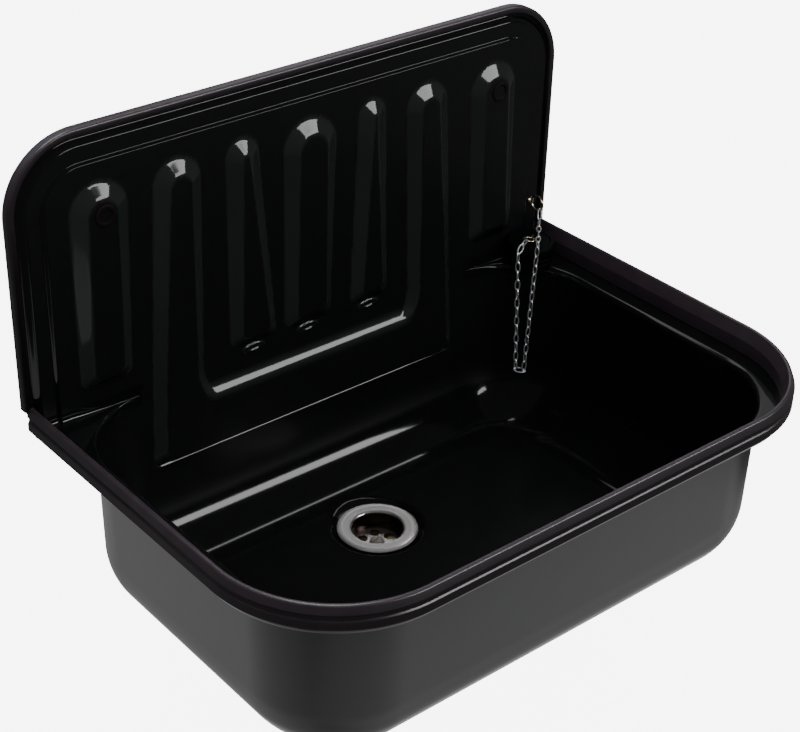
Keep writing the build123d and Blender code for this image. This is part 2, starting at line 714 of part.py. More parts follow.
ring_z = plug_top + RING_LIFT + RING_WIRE_R
arch_z = ring_z + RING_WIRE_R + STAPLE_R + 2 * LINK_CLEAR
plug_plane = Plane(
    origin=(PLUG_X, PLUG_Y, 0),
    x_dir=(ring_way.X, ring_way.Y, 0),
    z_dir=(ring_way.Y, -ring_way.X, 0),
)
with BuildPart() as plug_staple:
    with BuildLine(plug_plane) as arch:
        FilletPolyline(
            (-STAPLE_HALF, plug_top - STAPLE_DEEP + THREAD_CLEAR),
            (-STAPLE_HALF, arch_z),
            (STAPLE_HALF, arch_z),
            (STAPLE_HALF, plug_top - STAPLE_DEEP + THREAD_CLEAR),
            radius=1.6,
        )
    with BuildSketch(Plane(origin=arch.line @ 0, z_dir=arch.line % 0)):
        RegularPolygon(STAPLE_R, 8)
    sweep()

plug_staple.part.label = "plug_staple"
export_step(plug_staple.part, "parts/plug_staple.step")

# Chain: the pivots between links, from the stay's eye to the plug's ring. A pivot is the middle of the end
# wire that a link turns on: one link owns it, and the other reaches round it by HOOK.
HOOK = 2 * LINK_WIRE_R + LINK_CLEAR
EYE_HOOK = STAY_WIRE_R + LINK_WIRE_R + LINK_CLEAR
RING_HOOK = RING_WIRE_R + LINK_WIRE_R + LINK_CLEAR
hooks = [(EYE_HOOK, 0.0)]
for i in range(1, len(TOP_RUN_DIPS)):
    hooks.append((HOOK, HOOK) if i % 2 else (0.0, 0.0))
for i in range(FALL_LINKS - 1):
    hooks.append((HOOK, HOOK) if i % 2 else (0.0, 0.0))
hooks += [(HOOK, 0.0), (HOOK, HOOK)]
for i in range(RISE_LINKS - 1):
    hooks.append((HOOK, HOOK) if i % 2 else (0.0, 0.0))
hooks += [(0.0, HOOK), (0.0, 0.0), (HOOK, RING_HOOK)]
reach = [LINK_LONG - one - two for one, two in hooks]
top_count = len(TOP_RUN_DIPS)
fall_reach = reach[top_count : top_count + FALL_LINKS]
foot_reach = reach[top_count + FALL_LINKS]
rise_reach = reach[-2 - RISE_LINKS : -2]

out = Vector(-1, -1, 0).normalized()
across = Vector(-1, 1, 0).normalized()
up = Vector(0, 0, 1)
dip = radians(TOP_RUN_DIPS[0])
first = out * cos(dip) - up * sin(dip)
pull = Vector(0, first.Y, first.Z).normalized()
points = [Vector(STAY_X, eye_y, stay_z) + pull * STAY_EYE_R]
for angle, length in zip(TOP_RUN_DIPS, reach):
    run = out * cos(radians(angle)) - up * sin(radians(angle))
    points.append(points[-1] + run * length)
fall_top = points[-1]

link_half = LINK_WIDE / 2 + LINK_WIRE_R
ring_end_z = plug_top + link_half + RING_LIFT
ring_lean = (ring_end_z - ring_z) / (2 * RING_R)
ring_dir = ring_way * sqrt(1 - ring_lean**2) + up * ring_lean
ring_near = Vector(PLUG_X, PLUG_Y, ring_z)
ring_far = ring_near + ring_dir * (2 * RING_R)
turn_point = ring_far + ring_way * reach[-1]
side = 4.0
for step in range(6):
    fall_deep = sqrt(sum(fall_reach) ** 2 - side**2)
    rise_deep = sqrt(sum(rise_reach) ** 2 - side**2)
    low = turn_point.Z - (fall_top.Z - fall_deep + rise_deep)
    rise_top = turn_point + ring_way * sqrt(reach[-2] ** 2 - low**2) - up * low
    span = Vector(rise_top.X - fall_top.X, rise_top.Y - fall_top.Y, 0)
    side = (span.length - foot_reach) / 2
along = span.normalized()
fall_run = (along * side - up * fall_deep).normalized()
rise_run = (along * side + up * rise_deep).normalized()
for length in fall_reach:
    points.append(points[-1] + fall_run * length)
points.append(points[-1] + along * foot_reach)
for length in rise_reach:
    points.append(points[-1] + rise_run * length)
points.append(turn_point)
points.append(ring_far)

# Each link's width direction: a quarter turn from link to link, with a little twist on the way
wire = Vector(0, pull.Z, -pull.Y)
facing = Vector(along.Y, -along.X, 0)
if facing.dot(out) < 0:
    facing = facing * -1
ring_side = Vector(-ring_way.Y, ring_way.X, 0)


def blend(one, two, share):
    return (one * (1 - share) + two * share).normalized()


widths = [wire.cross(first).normalized()]
if widths[0].dot(across) < 0:
    widths[0] = widths[0] * -1
widths.append(blend(first.cross(widths[0]), first.cross(across), 0.5))
widths += [across, out.cross(across), across, out.cross(across)]
for i in range(FALL_LINKS):
    share = i / (FALL_LINKS - 1)
    widths.append(blend(across, along, share) if i % 2 == 0 else blend(out, facing, share))
widths.append(up)
for i in range(RISE_LINKS):
    share = i / (RISE_LINKS - 1)
    widths.append(blend(facing, ring_way, share) if i % 2 == 0 else blend(along, ring_side * -1, share))
widths += [ring_side, up]

# One link: a hexagonal wire round a blunt oval, along X with its width along Y
with BuildPart() as link:
    with BuildSketch():
        for grow, mode in ((LINK_WIRE_R, Mode.ADD), (-LINK_WIRE_R, Mode.SUBTRACT)):
            a = LINK_LONG / 2 + grow
            b = LINK_WIDE / 2 + grow
            k = 0.586 * b
            Polygon(
                (a, k - b),
                (a, b - k),
                (a - k, b),
                (k - a, b),
                (-a, b - k),
                (-a, k - b),
                (k - a, -b),
                (a - k, -b),
                align=None,
                mode=mode,
            )
    extrude(amount=LINK_WIRE_R * cos(radians(30)), taper=30, both=True)

for i, width in enumerate(widths):
    run = (points[i + 1] - points[i]).normalized()
    middle = (points[i] - run * hooks[i][0] + points[i + 1] + run * hooks[i][1]) * 0.5
    flat = run.cross(width).normalized()
    name = f"chain_link_{i + 1:02d}"
    placed = Plane(origin=middle, x_dir=run, z_dir=flat).location * link.part
    placed.label = name
    export_step(placed, f"parts/{name}.step")

with BuildPart() as plug_ring:
    ring_flat = ring_dir.cross(ring_side).normalized()
    ring_plane = Plane(origin=ring_near + ring_dir * RING_R, x_dir=ring_dir, z_dir=ring_flat)
    with Locations(ring_plane.location):
        Torus(RING_R, RING_WIRE_R)

plug_ring.part.label = "plug_ring"
export_step(plug_ring.part, "parts/plug_ring.step")
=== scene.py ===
import json
import math
import bpy
import bmesh
import numpy as np
from mathutils import Matrix, Vector

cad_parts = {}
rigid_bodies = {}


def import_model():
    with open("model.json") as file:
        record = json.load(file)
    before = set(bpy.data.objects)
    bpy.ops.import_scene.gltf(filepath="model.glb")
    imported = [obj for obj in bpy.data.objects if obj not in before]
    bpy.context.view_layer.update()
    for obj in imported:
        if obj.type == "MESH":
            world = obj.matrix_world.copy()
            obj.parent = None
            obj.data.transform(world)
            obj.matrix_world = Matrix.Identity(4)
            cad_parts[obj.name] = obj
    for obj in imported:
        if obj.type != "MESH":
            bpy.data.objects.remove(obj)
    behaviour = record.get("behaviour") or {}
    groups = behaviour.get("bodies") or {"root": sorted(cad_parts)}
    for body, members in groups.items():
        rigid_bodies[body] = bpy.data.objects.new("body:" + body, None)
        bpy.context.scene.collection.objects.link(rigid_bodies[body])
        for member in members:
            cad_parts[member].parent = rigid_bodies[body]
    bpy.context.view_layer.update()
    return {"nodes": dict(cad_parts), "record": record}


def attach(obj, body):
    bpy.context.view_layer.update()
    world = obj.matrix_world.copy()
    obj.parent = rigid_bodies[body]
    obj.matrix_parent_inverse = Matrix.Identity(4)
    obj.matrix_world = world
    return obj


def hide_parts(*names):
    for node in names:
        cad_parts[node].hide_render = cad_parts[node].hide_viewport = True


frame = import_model()
MM = 0.001
QUARTER = math.pi / 2

# Sizes are in millimetres, in the frame's axes: x right, y into the wall, z up from the wall screws

# Outline of the sink
HALF = 255.0
DEPTH = 341.0
RIM = -140.0
BACK_TOP = RIM + 205.0
BACK_CORNER = 57.0
RIM_CORNER = 100.0
SHEET = 2.0

# Back: the edge's face, its two steps out to the field (start from the edge, rise, run), and how far
# the sheet's edge lies inside the trim at the sides and the top
EDGE_FACE = -5.0
STEPS = ((7.0, 4.3, 6.8), (24.0, 2.2, 2.6))
FIELD = EDGE_FACE - sum(rise for _, rise, _ in STEPS)
SIDE_IN_TRIM = 2.4
TOP_IN_TRIM = 2.2

# Ribs: their rise, the run of their slopes at the rim and at the top, the share of a slope that is rounded,
# the roundness of their feet and how far their taper goes on below the foot
RIB_RISE = 6.5
RIB_RUN = (9.5, 14.3)
RIB_SOFT = 0.1
RIB_TOP = RIM + 165.0
RIB_FOOT_ROUND = 8.0
TAPER_BELOW = -0.2
# Each rib's left and right edge at the top, at the foot, and the foot's height over the rim
RIBS = (
    (-211.0, -162.0, -211.0, -167.0, 2.0),
    (-80.0, -49.0, -80.0, -35.0, -10.0),
    (-28.0, 23.0, -28.0, 18.0, -10.0),
    (43.0, 71.0, 37.0, 76.0, -10.0),
    (158.0, 207.0, 164.0, 210.0, 6.0),
)

# Oval ring under the foot of each middle rib: half length and half height, drop below the rim, rise,
# and where its crest lies between its middle (0) and its outside (1)
RINGED_RIBS = RIBS[1:4]
RING_HALF = (12.0, 4.4)
RING_DROP = 14.6
RING_RISE = 1.1
RING_CREST = 0.62

# U-shaped band: two arms like ribs, and a bar that joins them with a crease along its foot
BAND_FOOT = -88.0
BAND_BAR_TOP = -28.8
BAND_ARMS = (
    (-143.0, -100.0, -154.0, -106.0, BAND_FOOT),
    (91.0, 134.0, 101.0, 148.0, BAND_FOOT),
)
BAR_RUN = 18.2
BAR_SOFT = 0.48
BAR_INSET = 8.0
BAR_FOOT_RUN = 5.0
BAR_END_ROUND = 0.2
BAR_TOP_ROUND = 0.1
CREASE = 1.05
CREASE_RUN = 2.2
ARM_FLARE = 8.0
ARM_FLARE_RUN = 26.0

# Bowl: the lip to the ledge and the fold to the back get smaller where the ledge runs out, and the band's
# press is taken down to a little below the foot of the rear wall
LEDGE = RIM - 19.5
BOWL_HALF = 228.0
BOWL_FRONT = -314.5
REAR_CORNER = 68.0
FRONT_CORNER = 73.0
REAR_FLAT = BOWL_HALF - REAR_CORNER
FLOOR = LEDGE - 143.0
BOTTOM_R = 54.0
DRAFT = math.tan(math.radians(1.0))
LIP = 5.0
LIP_SHARE = 0.55
FOLD = 6.5
FOLD_SHARE = 0.3
WALL_FOOT = FLOOR + BOTTOM_R
WALL_TOP = LEDGE - LIP
PRESS_BELOW = 20.0

# Waste: its hole in the floor and the sunk seat round it, which moves points up to SEAT_ZONE over the floor
DRAIN = (0.0, -98.0)
DRAIN_HOLE = 24.0
SEAT_R = 40.0
SEAT_RUN = 6.6
SEAT_DROP = 3.5
SEAT_ZONE = 8.0

# Rim flange with its upturned edge
FLANGE_HALF = 250.0
FLANGE_FRONT = -336.0
UPTURN_BEND = 2.0
UPTURN_TOP = RIM - 1.0

# Columns of the shell's mesh, from the middle of the rear wall round to the middle of the front
REAR_COLUMNS = 112
LEDGE_COLUMNS = 40
BORDER_WIDE = 30.0
BORDER_COLUMNS = 50
FLANGE_COLUMNS = 16
SIDE_COLUMNS = 36
CORNER_COLUMNS = 44
FRONT_COLUMNS = 30
# Rows of the bowl, closer together near the waste and at the crease (below it, above it, and their step)
FLOOR_ROWS = 90
FLOOR_CROWD = 1.6
BEND_ROWS = 30
WALL_ROWS = 46
CREASE_ROWS = (3.0, 6.0, 0.4)
LIP_ROWS = 9
LEDGE_ROWS = 8
UPTURN_BEND_ROWS = 6
UPTURN_ROWS = 5
# Rows of the back, by shares of its height: close at the foot rings, wider on the field, close at the steps
FOOT_SHARE = 0.05
FOOT_ROWS = 22
FIELD_SHARE = 0.85
FIELD_ROWS = 88
STEP_ROWS = 64
# Where the back widens from the flange's width to its own, as shares of its height
WIDEN_START = 0.02
WIDEN_RUN = 0.1

# Tolerances of the shell's mesh; the first normals count as facing the rear, the second as square to it,
# and the third is the least that a fold is divided by
REARWARD = 0.2
SQUARE = 0.99
LEAST_NORMAL = 0.3
NEAR = 0.01
SAME = 1e-6
SHELL_MERGE = 0.02
SHELL_SLIVER = 0.01
SWEPT_MERGE = 0.001

# Painted sheen and gloss of the enamel: the slope of a bevel that takes the full painted sheen, the slope
# from which the back is glossy, the height to which the bowl's bottom bend is glossy, the widths of the
# fades, the step for taking slopes, and how far out from the field and below the rim the back's points lie
BEVEL_STEEP = 0.6
GLOSS_STEEP = 0.15
GLOSS_HEIGHT = 26.0
WALL_FADE = 10.0
LIP_FADE = 6.0
FLOOR_FADE = 1.5
SEAT_FADE = 3.0
FOLD_FADE = 5.0
PROBE = 0.5
BACK_DEEP = RIB_RISE + 1.0
BACK_LOW = BAND_FOOT - 10.0


# A smooth rise from 0 to 1
def ease(t):
    t = np.clip(t, 0.0, 1.0)
    return t * t * t * (t * (6.0 * t - 15.0) + 10.0)


# A straight rise from 0 to 1 with a rounded foot and head
def ramp(t, soft):
    t = np.clip(t, 0.0, 1.0)
    rise = np.where(t < soft, t * t / (2 * soft), t - soft / 2)
    rise = np.where(t > 1 - soft, 1 - soft - (1 - t) ** 2 / (2 * soft), rise)
    return rise / (1 - soft)


# The lesser of two values, rounded where they are within k of each other
def soft_min(a, b, k):
    h = np.clip(0.5 + 0.5 * (b - a) / k, 0.0, 1.0)
    return b * (1 - h) + a * h - k * h * (1 - h)


# Distance in from the edge of a rib with a round top and a soft foot
def rib_inset(x, z, rib):
    left, right, foot_left, foot_right, foot = rib
    low = RIM + foot
    half = (right - left) / 2
    mid = (right + left) / 2
    cap_z = RIB_TOP - half
    share = np.clip((z - low) / (cap_z - low), TAPER_BELOW, 1.0)
    left_x = foot_left + (left - foot_left) * share
    right_x = foot_right + (right - foot_right) * share
    sides = np.minimum(x - left_x, right_x - x)
    cap = half - np.hypot(x - mid, z - cap_z)
    inside = np.where(z > cap_z, cap, sides)
    return soft_min(inside, z - low, RIB_FOOT_ROUND)


# The same for an arm of the band, whose inner edge flares out into the bar
def arm_inset(x, z, arm):
    mid = (arm[0] + arm[1]) / 2
    above = z - RIM - BAND_BAR_TOP + BAR_RUN / 2
    flare = ARM_FLARE * np.clip(1 - above / ARM_FLARE_RUN, 0.0, 1.0) ** 2
    flared = mid + np.sign(x - mid) * np.maximum(np.abs(x - mid) - flare, 0.0)
    inner = (x - mid) * np.sign(mid) < 0
    return rib_inset(np.where(inner, flared, x), z, arm)


# The bar between the arms and the crease along its foot, each from 0 to 1
def band_bar(x, z, run):
    left_arm, right_arm = BAND_ARMS
    share = (z - (RIM + BAND_FOOT)) / (RIB_TOP - RIM - BAND_FOOT)
    left = left_arm[2] + (left_arm[0] - left_arm[2]) * share
    right = right_arm[3] + (right_arm[1] - right_arm[3]) * share
    sides = np.minimum(x - left, right - x)
    upper = (RIM + BAND_BAR_TOP - z) / BAR_RUN
    lower = (z - RIM - BAND_FOOT) / BAR_FOOT_RUN
    ends = soft_min(lower, (sides - BAR_INSET) / run, BAR_END_ROUND)
    bar = ramp(soft_min(upper, ends, BAR_TOP_ROUND), BAR_SOFT)
    valley = np.clip(1 - ((z - RIM - BAND_FOOT) / CREASE_RUN) ** 2, 0.0, 1.0) ** 2
    return bar, valley * ease(sides / BAR_INSET)


def foot_rings(x, z):
    rise = np.zeros_like(x)
    for _, _, foot_left, foot_right, _ in RINGED_RIBS:
        mid = (foot_left + foot_right) / 2
        out = np.hypot((x - mid) / RING_HALF[0], (z - RIM + RING_DROP) / RING_HALF[1])
        rise = rise + RING_RISE * np.clip(1 - ((out - RING_CREST) / (1 - RING_CREST)) ** 2, 0.0, 1.0) ** 2
    return rise


# How far the ribs, the band and the foot rings stand out of the field
def rib_height(x, z):
    up = np.clip((z - RIM) / (RIB_TOP - RIM), 0.0, 1.0)
    run = RIB_RUN[0] + (RIB_RUN[1] - RIB_RUN[0]) * up
    insets = [rib_inset(x, z, rib) for rib in RIBS] + [arm_inset(x, z, arm) for arm in BAND_ARMS]
    ribs = ramp(np.max(insets, axis=0) / run, RIB_SOFT)
    bar, crease = band_bar(x, z, run)
    return RIB_RISE * (1 - (1 - ribs) * (1 - bar)) - CREASE * crease + foot_rings(x, z)


# Distance in from the back's outline: straight sides and top with round upper corners
def back_inset(x, z):
    ax = np.abs(x)
    near = HALF - BACK_CORNER
    high = BACK_TOP - BACK_CORNER
    corner = BACK_CORNER - np.hypot(ax - near, z - high)
    straight = np.minimum(HALF - ax, BACK_TOP - z)
    return np.where((ax > near) & (z > high), corner, straight)


def back_face(x, z):
    inset = back_inset(x, z)
    y = np.full_like(x, EDGE_FACE)
    for start, rise, run in STEPS:
        y = y - rise * ease((inset - start) / run)
    return y


# Columns round the bowl's plan: a point on the outline, its outward normal and how far out the ledge ends
def bowl_columns():
    rear_y = FIELD - REAR_CORNER
    side_y = BOWL_FRONT + FRONT_CORNER
    front_x = BOWL_HALF - FRONT_CORNER
    side_reach = FLANGE_HALF - BOWL_HALF
    front_reach = BOWL_FRONT - FLANGE_FRONT
    border_x = FLANGE_HALF - BORDER_WIDE
    right = [(x, FIELD, 0.0, 1.0, 0.0) for x in np.linspace(0.0, REAR_FLAT, REAR_COLUMNS)[:-1]]
    # At a rear corner the ledge ends first at the back, then at the flange's side
    fold_xs = [*np.linspace(REAR_FLAT, border_x, LEDGE_COLUMNS)[:-1],
               *np.linspace(border_x, FLANGE_HALF, BORDER_COLUMNS)[:-1]]
    turns = [math.atan2(fold_x - REAR_FLAT, REAR_CORNER) for fold_x in fold_xs]
    ends = [(turn, REAR_CORNER / math.cos(turn) - REAR_CORNER) for turn in turns]
    last_fold = math.atan2(FLANGE_HALF - REAR_FLAT, REAR_CORNER)
    for turn in np.linspace(last_fold, QUARTER, FLANGE_COLUMNS)[:-1]:
        ends.append((turn, (FLANGE_HALF - REAR_FLAT) / math.sin(turn) - REAR_CORNER))
    for turn, reach in ends:
        nx = math.sin(turn)
        ny = math.cos(turn)
        right.append((REAR_FLAT + REAR_CORNER * nx, rear_y + REAR_CORNER * ny, nx, ny, reach))
    for y in np.linspace(rear_y, side_y, SIDE_COLUMNS)[:-1]:
        right.append((BOWL_HALF, y, 1.0, 0.0, side_reach))
    for turn in np.linspace(0.0, QUARTER, CORNER_COLUMNS)[:-1]:
        nx = math.cos(turn)
        ny = -math.sin(turn)
        reach = side_reach + (front_reach - side_reach) * turn / QUARTER
        right.append((front_x + FRONT_CORNER * nx, side_y + FRONT_CORNER * ny, nx, ny, reach))
    for x in np.linspace(front_x, 0.0, FRONT_COLUMNS):
        right.append((x, BOWL_FRONT, 0.0, -1.0, front_reach))
    left = [(-x, y, -nx, ny, reach) for x, y, nx, ny, reach in right[1:-1]]
    return np.array(right + left[::-1])


# Points of the bowl by column and row: floor, bottom bend, wall, lip, ledge and the flange's upturn
def bowl_grid(columns, on_fold, fold):
    px, py, nx, ny, reach = columns.T
    level = np.ones(len(columns))
    foot = DRAFT * (WALL_TOP - WALL_FOOT)
    flat_x = px - (foot + BOTTOM_R) * nx
    flat_y = py - (foot + BOTTOM_R) * ny
    turn = np.arctan2(flat_y - DRAIN[1], flat_x - DRAIN[0])
    hole_x = DRAIN[0] + DRAIN_HOLE * np.cos(turn)
    hole_y = DRAIN[1] + DRAIN_HOLE * np.sin(turn)
    rows = []
    for t in np.linspace(0.0, 1.0, FLOOR_ROWS) ** FLOOR_CROWD:
        rows.append((hole_x + (flat_x - hole_x) * t, hole_y + (flat_y - hole_y) * t, FLOOR * level))
    # From here each row is a distance out from the outline and a height
    outs = []
    for a in np.linspace(0.0, QUARTER, BEND_ROWS)[1:]:
        outs.append((-foot - BOTTOM_R * (1 - math.sin(a)), FLOOR + BOTTOM_R * (1 - math.cos(a))))
    below, above, step = CREASE_ROWS
    crease = np.arange(RIM + BAND_FOOT - below, RIM + BAND_FOOT + above, step)
    for z in np.unique([*np.linspace(WALL_FOOT, WALL_TOP, WALL_ROWS)[1:], *crease]):
        outs.append((-DRAFT * (WALL_TOP - z), z))
    lip = np.minimum(LIP, LIP_SHARE * reach)
    for a in np.linspace(0.0, QUARTER, LIP_ROWS)[1:]:
        outs.append((lip * (1 - math.cos(a)), LEDGE - lip + lip * math.sin(a)))
    bend = np.where(on_fold, fold / np.maximum(ny, LEAST_NORMAL), UPTURN_BEND)
    upturn = np.where(on_fold, 0.0, UPTURN_BEND)
    for t in np.linspace(0.0, 1.0, LEDGE_ROWS)[1:]:
        outs.append((lip + (reach - bend - lip) * t, LEDGE))
    for a in np.linspace(0.0, QUARTER, UPTURN_BEND_ROWS)[1:]:
        outs.append((reach - bend + upturn * math.sin(a), LEDGE + upturn * (1 - math.cos(a))))
    for t in np.linspace(0.0, 1.0, UPTURN_ROWS)[1:]:
        rise = np.where(on_fold, 0.0, (UPTURN_TOP - LEDGE - UPTURN_BEND) * t + UPTURN_BEND)
        outs.append((reach - bend + upturn, LEDGE + rise))
    rows += [(px + out * nx, py + out * ny, z * level) for out, z in outs]
    grid = np.array(rows).transpose(2, 0, 1).copy()
    from_drain = np.hypot(grid[..., 0] - DRAIN[0], grid[..., 1] - DRAIN[1])
    seat = SEAT_DROP * ease((SEAT_R - from_drain) / SEAT_RUN)
    grid[..., 2] -= seat * (grid[..., 2] < FLOOR + SEAT_ZONE)
    # The band runs down onto the bowl's rear wall
    on_wall = (np.abs(px) <= REAR_FLAT) & (ny > SQUARE)
    pressed = on_wall[:, None] & (grid[..., 2] > WALL_FOOT - PRESS_BELOW)
    grid[..., 1] -= rib_height(grid[..., 0], grid[..., 2]) * pressed
    return grid


# Points of the back by column and row: it rises from the bowl's rear wall and from the ledges' folds
def back_grid(fold_x, fold):
    heights = np.concatenate([
        np.linspace(0.0, FOOT_SHARE, FOOT_ROWS)[:-1],
        np.linspace(FOOT_SHARE, FIELD_SHARE, FIELD_ROWS)[:-1],
        np.linspace(FIELD_SHARE, 1.0, STEP_ROWS),
    ])
    widen = (HALF - SIDE_IN_TRIM - FLANGE_HALF) / FLANGE_HALF
    grid = np.zeros((len(fold_x), len(heights), 3))
    for k, t in enumerate(heights):
        x = fold_x * (1.0 + widen * ease((t - WIDEN_START) / WIDEN_RUN))
        edge = np.maximum(np.abs(x) - (HALF - BACK_CORNER), 0.0)
        arc = np.sqrt(np.maximum((BACK_CORNER - TOP_IN_TRIM) ** 2 - edge ** 2, 0.0))
        z = LEDGE + (BACK_TOP - BACK_CORNER + arc - LEDGE) * t
        short = np.clip(fold - (z - LEDGE), 0.0, None)
        bend = fold - np.sqrt(np.maximum(fold ** 2 - short ** 2, 0.0))
        grid[:, k] = np.stack([x, back_face(x, z) - rib_height(x, z) - bend, z], axis=1)
    return grid


def show(name, data):
    made = bpy.data.objects.new(name, data)
    bpy.context.scene.collection.objects.link(made)
    return made


# A piece from points in millimetres, without doubled points and slivers. A solid's faces are turned
# outward, and only those with four corners are shaded smooth
def mesh_piece(name, points, faces, merge, sliver, solid):
    mesh = bpy.data.meshes.new(name)
    mesh.from_pydata([tuple(p) for p in points * MM], [], faces)
    work = bmesh.new()
    work.from_mesh(mesh)
    bmesh.ops.remove_doubles(work, verts=work.verts, dist=merge * MM)
    bmesh.ops.dissolve_degenerate(work, dist=sliver * MM, edges=work.edges)
    if solid:
        bmesh.ops.recalc_face_normals(work, faces=work.faces)
    for face in work.faces:
        face.smooth = not solid or len(face.verts) == 4
    work.to_mesh(mesh)
    work.free()
    return show(name, mesh)


# One sheet from grids of columns and rows; a closed grid's last column joins its first
def sheet_piece(name, grids):
    faces = []
    base = 0
    for grid, closed in grids:
        count, rows = grid.shape[:2]
        for i in range(count if closed else count - 1):
            here = base + i * rows
            beside = base + (i + 1) % count * rows
            for k in range(rows - 1):
                faces.append((here + k, beside + k, beside + k + 1, here + k + 1))
        base += count * rows
    points = np.concatenate([grid.reshape(-1, 3) for grid, _ in grids])
    return mesh_piece(name, points, faces, SHELL_MERGE, SHELL_SLIVER, solid=False)


# Slope of a height over x and z, across and upward
def slope(height, x, z):
    across = (height(x + PROBE, z) - height(x - PROBE, z)) / (2 * PROBE)
    upward = (height(x, z + PROBE) - height(x, z - PROBE)) / (2 * PROBE)
    return across, upward


# Finish of each point: "bevel" is the ribs' side slopes, where a grey sheen is painted into the enamel's
# colour, "dull" the flats, which have less gloss than bends
def mark_slopes(mesh):
    x, y, z = np.array([v.co for v in mesh.vertices]).T / MM
    on_back = (y > FIELD - BACK_DEEP) & (z > RIM + BACK_LOW)
    across, upward = slope(rib_height, x, z)
    bevel = np.clip(np.hypot(across, np.minimum(upward, 0.0)) / BEVEL_STEEP, 0.0, 1.0) * on_back
    step_across, step_upward = slope(back_face, x, z)
    steep = np.hypot(across - step_across, upward - step_upward * (z > LEDGE))
    in_bowl = (np.abs(x) < BOWL_HALF) & (y > BOWL_FRONT)
    wall = ease((z - FLOOR - GLOSS_HEIGHT) / WALL_FADE) * ease((WALL_TOP - z) / LIP_FADE) * in_bowl
    from_drain = np.hypot(x - DRAIN[0], y - DRAIN[1])
    flat = ease((FLOOR + FLOOR_FADE - z) / FLOOR_FADE) * ease((from_drain - SEAT_R) / SEAT_FADE) * in_bowl
    over_ledge = np.abs(x) > REAR_FLAT
    above = np.where(over_ledge, ease((z - LEDGE - FOLD) / FOLD_FADE), ease((z - WALL_FOOT) / WALL_FADE))
    back = above * (1 - ease(steep / GLOSS_STEEP))
    on_rear = on_back & ((z > LEDGE) | ~over_ledge)
    dull = np.where(on_rear, back, np.maximum(wall, flat))
    for name, values in (("bevel", bevel), ("dull", dull)):
        mesh.attributes.new(name, "FLOAT", "POINT").data.foreach_set("value", values.astype(np.float32))


def shell_piece():
    columns = bowl_columns()
    px, py, nx, ny, reach = columns.T
    end_x = px + reach * nx
    end_y = py + reach * ny
    on_fold = end_y > FIELD - NEAR
    fold = np.minimum(FOLD, FOLD_SHARE * reach) * on_fold
    bowl = bowl_grid(columns, on_fold, fold)
    upper = np.where((ny > REARWARD) & (np.abs(end_y - FIELD) < NEAR))[0]
    upper = upper[np.argsort(end_x[upper])]
    back = back_grid(end_x[upper], fold[upper])
    # The bowl's points that lie on the fold take the back's lowest points, so that the two grids meet
    ends = bowl[upper, -1].copy()
    for row in range(bowl.shape[1]):
        same = np.abs(bowl[upper, row] - ends).max(axis=1) < SAME
        bowl[upper[same], row] = back[same, 0]
    piece = sheet_piece("enamelled_shell", [(bowl, True), (back, False)])
    mark_slopes(piece.data)
    thick = piece.modifiers.new("sheet", "SOLIDIFY")
    thick.thickness = SHEET * MM
    thick.offset = -1.0
    return piece


# Finishes: colours are sRGB hex values of the clean material, grain sizes and heights are in millimetres.
# Real plating, rubber and plastic have a finer grain than the render can show, so theirs is drawn coarser
CLOUD = 14.0
CLOUD_RANGE = (0.35, 0.7)
CLOUD_DETAIL = 3.0
GRAIN_DETAIL = 2.0
GLOSS_SPREAD = 0.15
# The Mix node's colour inputs and output share their names with its other sockets, so they go by number
MIX_A = 6
MIX_B = 7
MIX_OUT = 2


def tint(code):
    parts = [int(code[i:i + 2], 16) / 255 for i in (1, 3, 5)]
    return tuple(c / 12.92 if c <= 0.04045 else ((c + 0.055) / 1.055) ** 2.4 for c in parts) + (1.0,)


def add_node(tree, kind, values=None, **fields):
    new = tree.nodes.new(kind)
    for key, value in fields.items():
        setattr(new, key, value)
    for key, value in (values or {}).items():
        if isinstance(value, bpy.types.NodeSocket):
            tree.links.new(value, new.inputs[key])
        else:
            new.inputs[key].default_value = value
    return new


# A finish: two shades of one colour in soft clouds, and a fine grain for the gloss and the bump
def finish(name, colour, second, rough, grain, height, **values):
    made = bpy.data.materials.new(name)
    made.use_nodes = True
    tree = made.node_tree
    skin = tree.nodes["Principled BSDF"]
    for key, value in values.items():
        skin.inputs[key.replace("_", " ")].default_value = value
    place = add_node(tree, "ShaderNodeTexCoord").outputs["Object"]
    cloud = add_node(tree, "ShaderNodeTexNoise", {
        "Vector": place, "Scale": 1 / (CLOUD * MM), "Detail": CLOUD_DETAIL,
    })
    patch = add_node(tree, "ShaderNodeMapRange", {
        "Value": cloud.outputs["Fac"], "From Min": CLOUD_RANGE[0], "From Max": CLOUD_RANGE[1],
    })
    shade = add_node(tree, "ShaderNodeMix", {
        "Factor": patch.outputs["Result"], MIX_A: tint(colour), MIX_B: tint(second),
    }, name="shade", data_type="RGBA")
    speck = add_node(tree, "ShaderNodeTexNoise", {
        "Vector": place, "Scale": 1 / (grain * MM), "Detail": GRAIN_DETAIL,
    })
    gloss = add_node(tree, "ShaderNodeMapRange", {
        "Value": speck.outputs["Fac"],
        "To Min": rough * (1 - GLOSS_SPREAD),
        "To Max": rough * (1 + GLOSS_SPREAD),
    }, name="gloss")
    bump = add_node(tree, "ShaderNodeBump", {
        "Height": speck.outputs["Fac"], "Strength": 1.0, "Distance": height * MM,
    })
    tree.links.new(shade.outputs[MIX_OUT], skin.inputs["Base Color"])
    tree.links.new(gloss.outputs["Result"], skin.inputs["Roughness"])
    tree.links.new(bump.outputs["Normal"], skin.inputs["Normal"])
    return made


